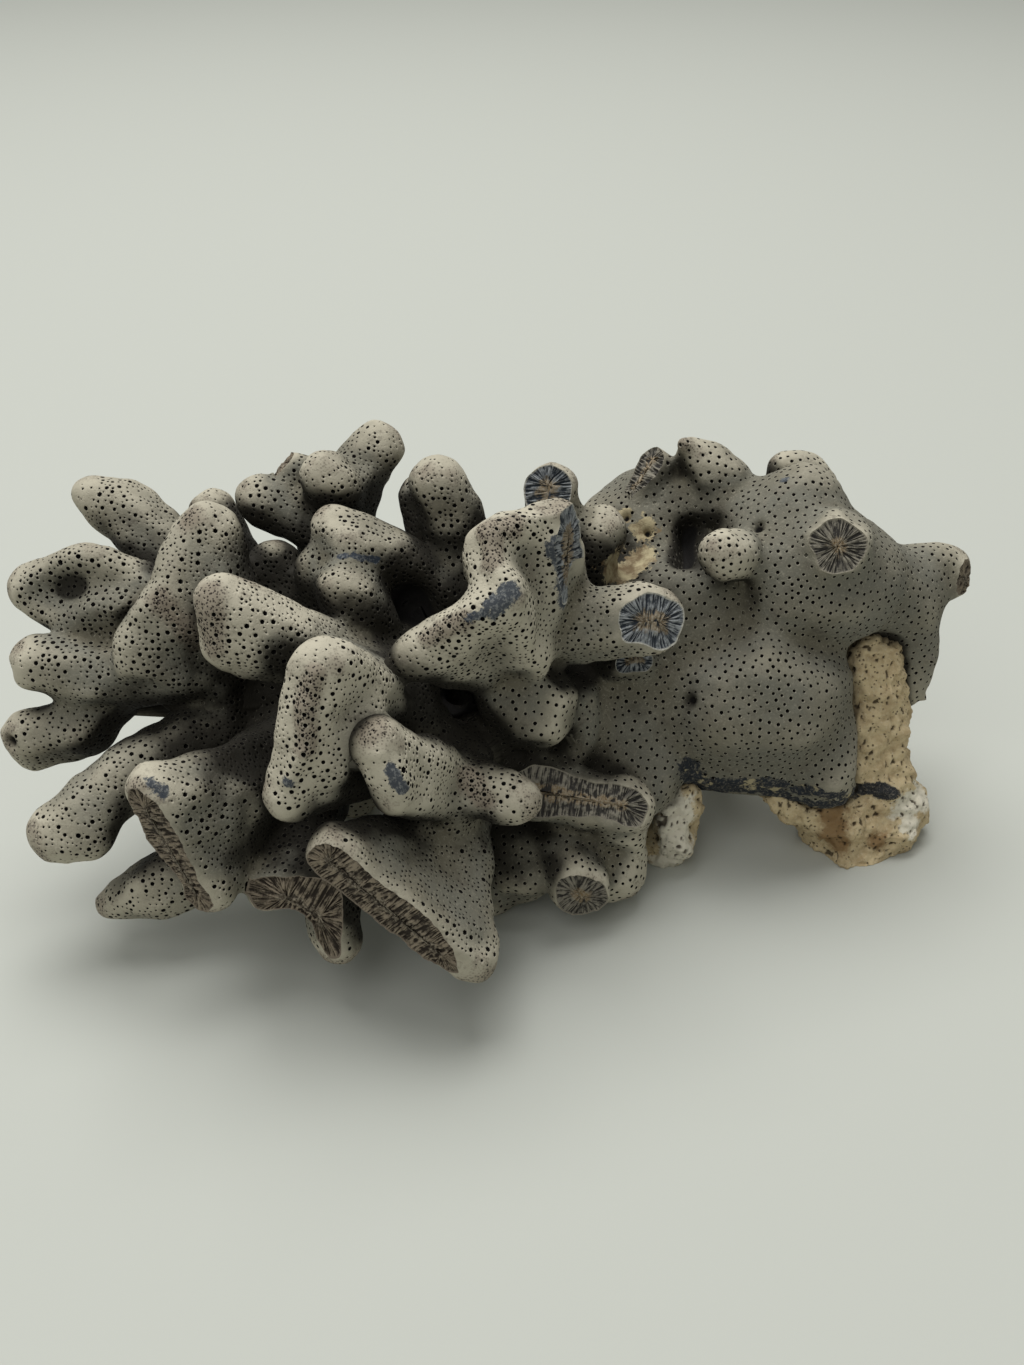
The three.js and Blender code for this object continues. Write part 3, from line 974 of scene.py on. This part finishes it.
def break_material(name, rim, valley, crest, core, core_start):
    """Fibres between two colours, with a core of its own colour in the middle of the break."""
    paint = Paint(name, 0.75)
    fibre = paint.layer("fibre")
    inward = paint.layer("inward")
    fine = paint.blotches(0.5 * MM, 3, 0.7)
    middle = paint.blotches(2.2 * MM, 3, 0.6)
    paint.base = paint.mix(paint.step(fibre + 1.1 * (fine - 0.5), 0.22, 0.78), valley, crest)
    paint.coat(paint.step(middle, 0.48, 0.64) * 0.6, valley)
    centre = paint.step(inward + 0.7 * (middle - 0.5), core_start, core_start + 0.18)
    speckle = paint.mix(paint.step(fine, 0.35, 0.7), core, (0.33, 0.29, 0.22))
    paint.coat(centre * 0.85, paint.mix(paint.step(fibre, 0.2, 0.5), valley, speckle))
    edge = paint.step(inward, 0.07, 0.03)
    paint.coat(edge, rim)
    return paint.finish(paint.base, fine, 0.0002, 0.6)


def rock_material(name, colours, white, rust):
    """Tan limestone with pits, chalky patches, rusty stains, a blackish crust, and painted shade where the rest of
    the object shelters it.
    """
    paint = Paint(name, 0.9)
    middle = paint.blotches(3 * MM, 4, 0.65)
    fine = paint.blotches(0.6 * MM, 3, 0.7)
    rag = 1.6 * (paint.blotches(3.5 * MM, 5, 0.7) - 0.5)
    pits = paint.grains(1.25 * MM)
    paint.base = paint.mix(paint.step(middle, 0.3, 0.62), (0.44, 0.335, 0.19), colours.rock)
    paint.coat(paint.step(fine, 0.52, 0.7) * 0.5, (0.62, 0.55, 0.40))
    stain = paint.step(paint.layer("rust") + rag + rust, 0.3, 0.85)
    paint.coat(stain * 0.8, (0.20, 0.105, 0.035))
    chalk = paint.step(paint.layer("chalk") + rag + white, 0.4, 0.65)
    paint.coat(chalk * 0.9, (0.74, 0.70, 0.58))
    holes = paint.step(pits + 0.3 * (fine - 0.5), 0.30, 0.16) * paint.step(middle, 0.44, 0.52)
    paint.coat(holes * (0.8 - 0.5 * chalk), (0.06, 0.04, 0.022))
    paint.coat(paint.step(paint.layer("pits"), 0.2, 0.8) * 0.85, (0.045, 0.031, 0.018))
    crust = paint.step(paint.layer("crust") + rag, 0.4, 0.6)
    paint.coat(crust, paint.mix(paint.step(fine, 0.5, 0.66), (0.03, 0.031, 0.033), (0.16, 0.145, 0.12)))
    # Painted shade: darker brown where the rest of the object shelters the rock.
    shelter_shade = paint.step(paint.layer("shelter") + 0.35 * (middle - 0.5), 0.35, 0.9)
    paint.coat(shelter_shade * 0.75, (0.045, 0.034, 0.021))
    height = fine * 0.5 + paint.step(pits, 0.08, 0.32) * 0.7
    return paint.finish(paint.base, height, 0.0004, 0.8)


class CORAL_OT_materials(bpy.types.Operator):
    """Mix the materials of the skin, the pores, the breaks and the rock"""

    bl_idname = "coral.materials"
    bl_label = "Mix the materials"

    def execute(self, context):
        colours = context.scene.coral_colours
        skin_material(colours)
        # Painted shade: the walls and floors of the pores are near-black.
        Paint("pore_pit", 0.95).finish((*colours.pit, 1))
        chalk = (0.42, 0.41, 0.36)
        rust = (0.21, 0.145, 0.072)
        break_material("break_blue", chalk, (0.034, 0.042, 0.053), (0.29, 0.305, 0.31), rust, 0.5)
        break_material("break_slate", (0.22, 0.20, 0.155), (0.036, 0.033, 0.029), (0.24, 0.22, 0.175), rust, 0.62)
        break_material(
            "break_brown", (0.20, 0.165, 0.125), (0.026, 0.019, 0.013), (0.26, 0.215, 0.155), (0.040, 0.028, 0.018),
            0.7)
        rock_material("tan_limestone", colours, 0.0, 0.1)
        rock_material("crumbly_limestone", colours, 0.25, 0.25)
        return {"FINISHED"}


class CORAL_OT_finish(bpy.types.Operator):
    """Give each piece of the coral its materials"""

    bl_idname = "coral.finish"
    bl_label = "Finish the pieces"

    def execute(self, context):
        for node in CORAL_NODES:
            slots = bpy.data.objects[f"coral_{node}"].data.materials
            slots[0] = bpy.data.materials["porous_skin"]
            slots[1] = bpy.data.materials["pore_pit"]
            look = BREAKS[node][2] if node in BREAKS else "blue"
            slots[2] = bpy.data.materials[f"break_{look}"]
        return {"FINISHED"}


# ---- rock


class CORAL_PG_rock(bpy.types.PropertyGroup):
    voxel: FloatProperty(name="Mesh size", description="Side of a face of the rock", default=0.0005, unit="LENGTH")
    swell: FloatProperty(
        name="Swell", description="How far the rock grows, to meet the coral that it carries",
        default=0.0012, unit="LENGTH")
    roughness: FloatProperty(
        name="Roughness", description="Height of the broad unevenness", default=0.0023, unit="LENGTH")


class CORAL_OT_rock(bpy.types.Operator):
    """Carve the remnant of reef rock that the coral rests on"""

    bl_idname = "coral.rock"
    bl_label = "Carve the rock"

    def execute(self, context):
        setup = context.scene.coral_rock
        for name, nodes in ROCKS.items():
            rock = fused(nodes, name, setup.swell, setup.voxel)
            mesh = rock.data
            average = neighbour_average(mesh)
            points = round_off(average, vectors(mesh, "co"), 30, 20)
            place(mesh, points)
            normals = vectors(mesh, "normal")
            height = setup.roughness * (
                lumps(points, 7 * MM) + 0.45 * lumps(points, 2.6 * MM, 2) + 0.22 * lumps(points, 1.1 * MM, 4) - 0.15)
            pits = np.clip(lumps(points * (1, 1, 0.6), 1.1 * MM, 12) - 0.34, 0, 0.2)
            write(mesh, "pits", pits / 0.2)
            tree = tree_of(points)
            painting = {
                layer: [row for row in strokes if row[2] in nodes] for layer, strokes in ROCK_PAINTING.items()}
            painted = paint_layers(points, tree, painting)
            for layer, values in painted.items():
                write(mesh, layer, values)
            height += (1.2 * painted["crust"] * (lumps(points, 1.4 * MM, 13) + 0.5) - 4 * pits) * MM
            points = points + normals * height[:, None]
            write(mesh, "shelter", shelter(average, points, normals, 30 * MM))
            low, high = CAD_BOX[0][2], max(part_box(node)[1].z for node in nodes)
            points[:, 2] = np.clip(points[:, 2], low, high + MM)
            place(mesh, points)
            shade_smooth(mesh)
            paint = "crumbly_limestone" if name == "crumbly_rock" else "tan_limestone"
            mesh.materials.append(bpy.data.materials[paint])
            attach(rock, "root")
            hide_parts(*nodes)
        return {"FINISHED"}


# ---- stage


class CORAL_PG_stage(bpy.types.PropertyGroup):
    floor_size: FloatProperty(name="Floor", description="Side of the floor", default=6, unit="LENGTH")
    floor_colour: FloatVectorProperty(
        name="Floor colour", description="Colour of the floor", subtype="COLOR", default=(0.50, 0.513, 0.466))
    elevation: FloatProperty(
        name="Elevation", description="Height of the camera above the horizon",
        default=math.radians(35), unit="ROTATION")
    distance: FloatProperty(
        name="Distance", description="From the camera to the point it looks at", default=0.333, unit="LENGTH")
    lens: FloatProperty(name="Lens", description="Focal length in millimetres", default=35.18)
    aim: FloatVectorProperty(
        name="Aim", description="From the middle of the coral to the point the camera looks at",
        subtype="XYZ", default=(0.0008, 0.0098, -0.0071))
    key: FloatProperty(name="Key light", description="Power of the light above", default=42)
    fill: FloatProperty(name="Fill light", description="Power of the light in front", default=1.9)
    sky: FloatProperty(name="Sky", description="Strength of the light from all round", default=0.29)


class CORAL_OT_stage(bpy.types.Operator):
    """Add the pale floor, the soft lights and the camera"""

    bl_idname = "coral.stage"
    bl_label = "Set the stage"

    def execute(self, context):
        setup = context.scene.coral_stage
        low, high = (Vector(corner) for corner in CAD_BOX)
        centre = (low + high) / 2
        deselect_all()
        bpy.ops.mesh.primitive_plane_add(size=setup.floor_size, location=(centre.x, centre.y, low.z))
        floor = context.object
        floor.name = "floor"
        bpy.ops.object.transform_apply(location=True)
        paint = Paint("pale_floor", 0.9)
        floor.data.materials.append(paint.finish((*setup.floor_colour, 1)))

        aim = centre + Vector(setup.aim)
        back = Vector((0, -math.cos(setup.elevation), math.sin(setup.elevation)))
        bpy.ops.object.camera_add(location=aim + back * setup.distance)
        camera = context.object
        camera.name = "camera"
        camera.rotation_mode = "QUATERNION"
        camera.rotation_quaternion = (-back).to_track_quat("-Z", "Y")
        camera.data.lens = setup.lens
        camera.data.clip_start = 0.01
        context.scene.camera = camera

        world = bpy.data.worlds.new("studio")
        world.use_nodes = True
        sky = world.node_tree.nodes["Background"]
        sky.inputs["Color"].default_value = (0.95, 0.97, 0.93, 1)
        sky.inputs["Strength"].default_value = setup.sky
        context.scene.world = world
        lamps = (("key", (-0.25, 0.60, 1.90), 1.5, setup.key), ("fill", (-0.3, -0.5, 0.8), 0.6, setup.fill))
        for name, offset, size, power in lamps:
            bpy.ops.object.light_add(type="AREA", location=centre + Vector(offset))
            lamp = context.object
            lamp.name = name
            lamp.data.size = size
            lamp.data.energy = power
            lamp.rotation_mode = "QUATERNION"
            lamp.rotation_quaternion = (-Vector(offset)).to_track_quat("-Z", "Y")
        context.scene.view_settings.view_transform = "Standard"
        return {"FINISHED"}


# ---- add-on


class CORAL_PT_panel(bpy.types.Panel):
    bl_idname = "CORAL_PT_panel"
    bl_label = "Blue coral"
    bl_space_type = "VIEW_3D"
    bl_region_type = "UI"
    bl_category = "Coral"

    def draw(self, context):
        for operator in STEPS:
            self.layout.operator(operator.bl_idname)


STEPS = (CORAL_OT_materials, CORAL_OT_skin, CORAL_OT_breaks, CORAL_OT_pores, CORAL_OT_finish, CORAL_OT_rock,
         CORAL_OT_stage)
GROUPS = {
    "coral_skin": CORAL_PG_skin,
    "coral_breaks": CORAL_PG_breaks,
    "coral_pores": CORAL_PG_pores,
    "coral_colours": CORAL_PG_colours,
    "coral_rock": CORAL_PG_rock,
    "coral_stage": CORAL_PG_stage,
}


def register():
    for cls in (*GROUPS.values(), *STEPS, CORAL_PT_panel):
        bpy.utils.register_class(cls)
    for name, group in GROUPS.items():
        setattr(bpy.types.Scene, name, PointerProperty(type=group))


def unregister():
    for name in GROUPS:
        delattr(bpy.types.Scene, name)
    for cls in (CORAL_PT_panel, *STEPS, *GROUPS.values()):
        bpy.utils.unregister_class(cls)


def main():
    register()
    for step in STEPS:
        family, name = step.bl_idname.split(".")
        getattr(getattr(bpy.ops, family), name)()


if __name__ == "__main__":
    main()
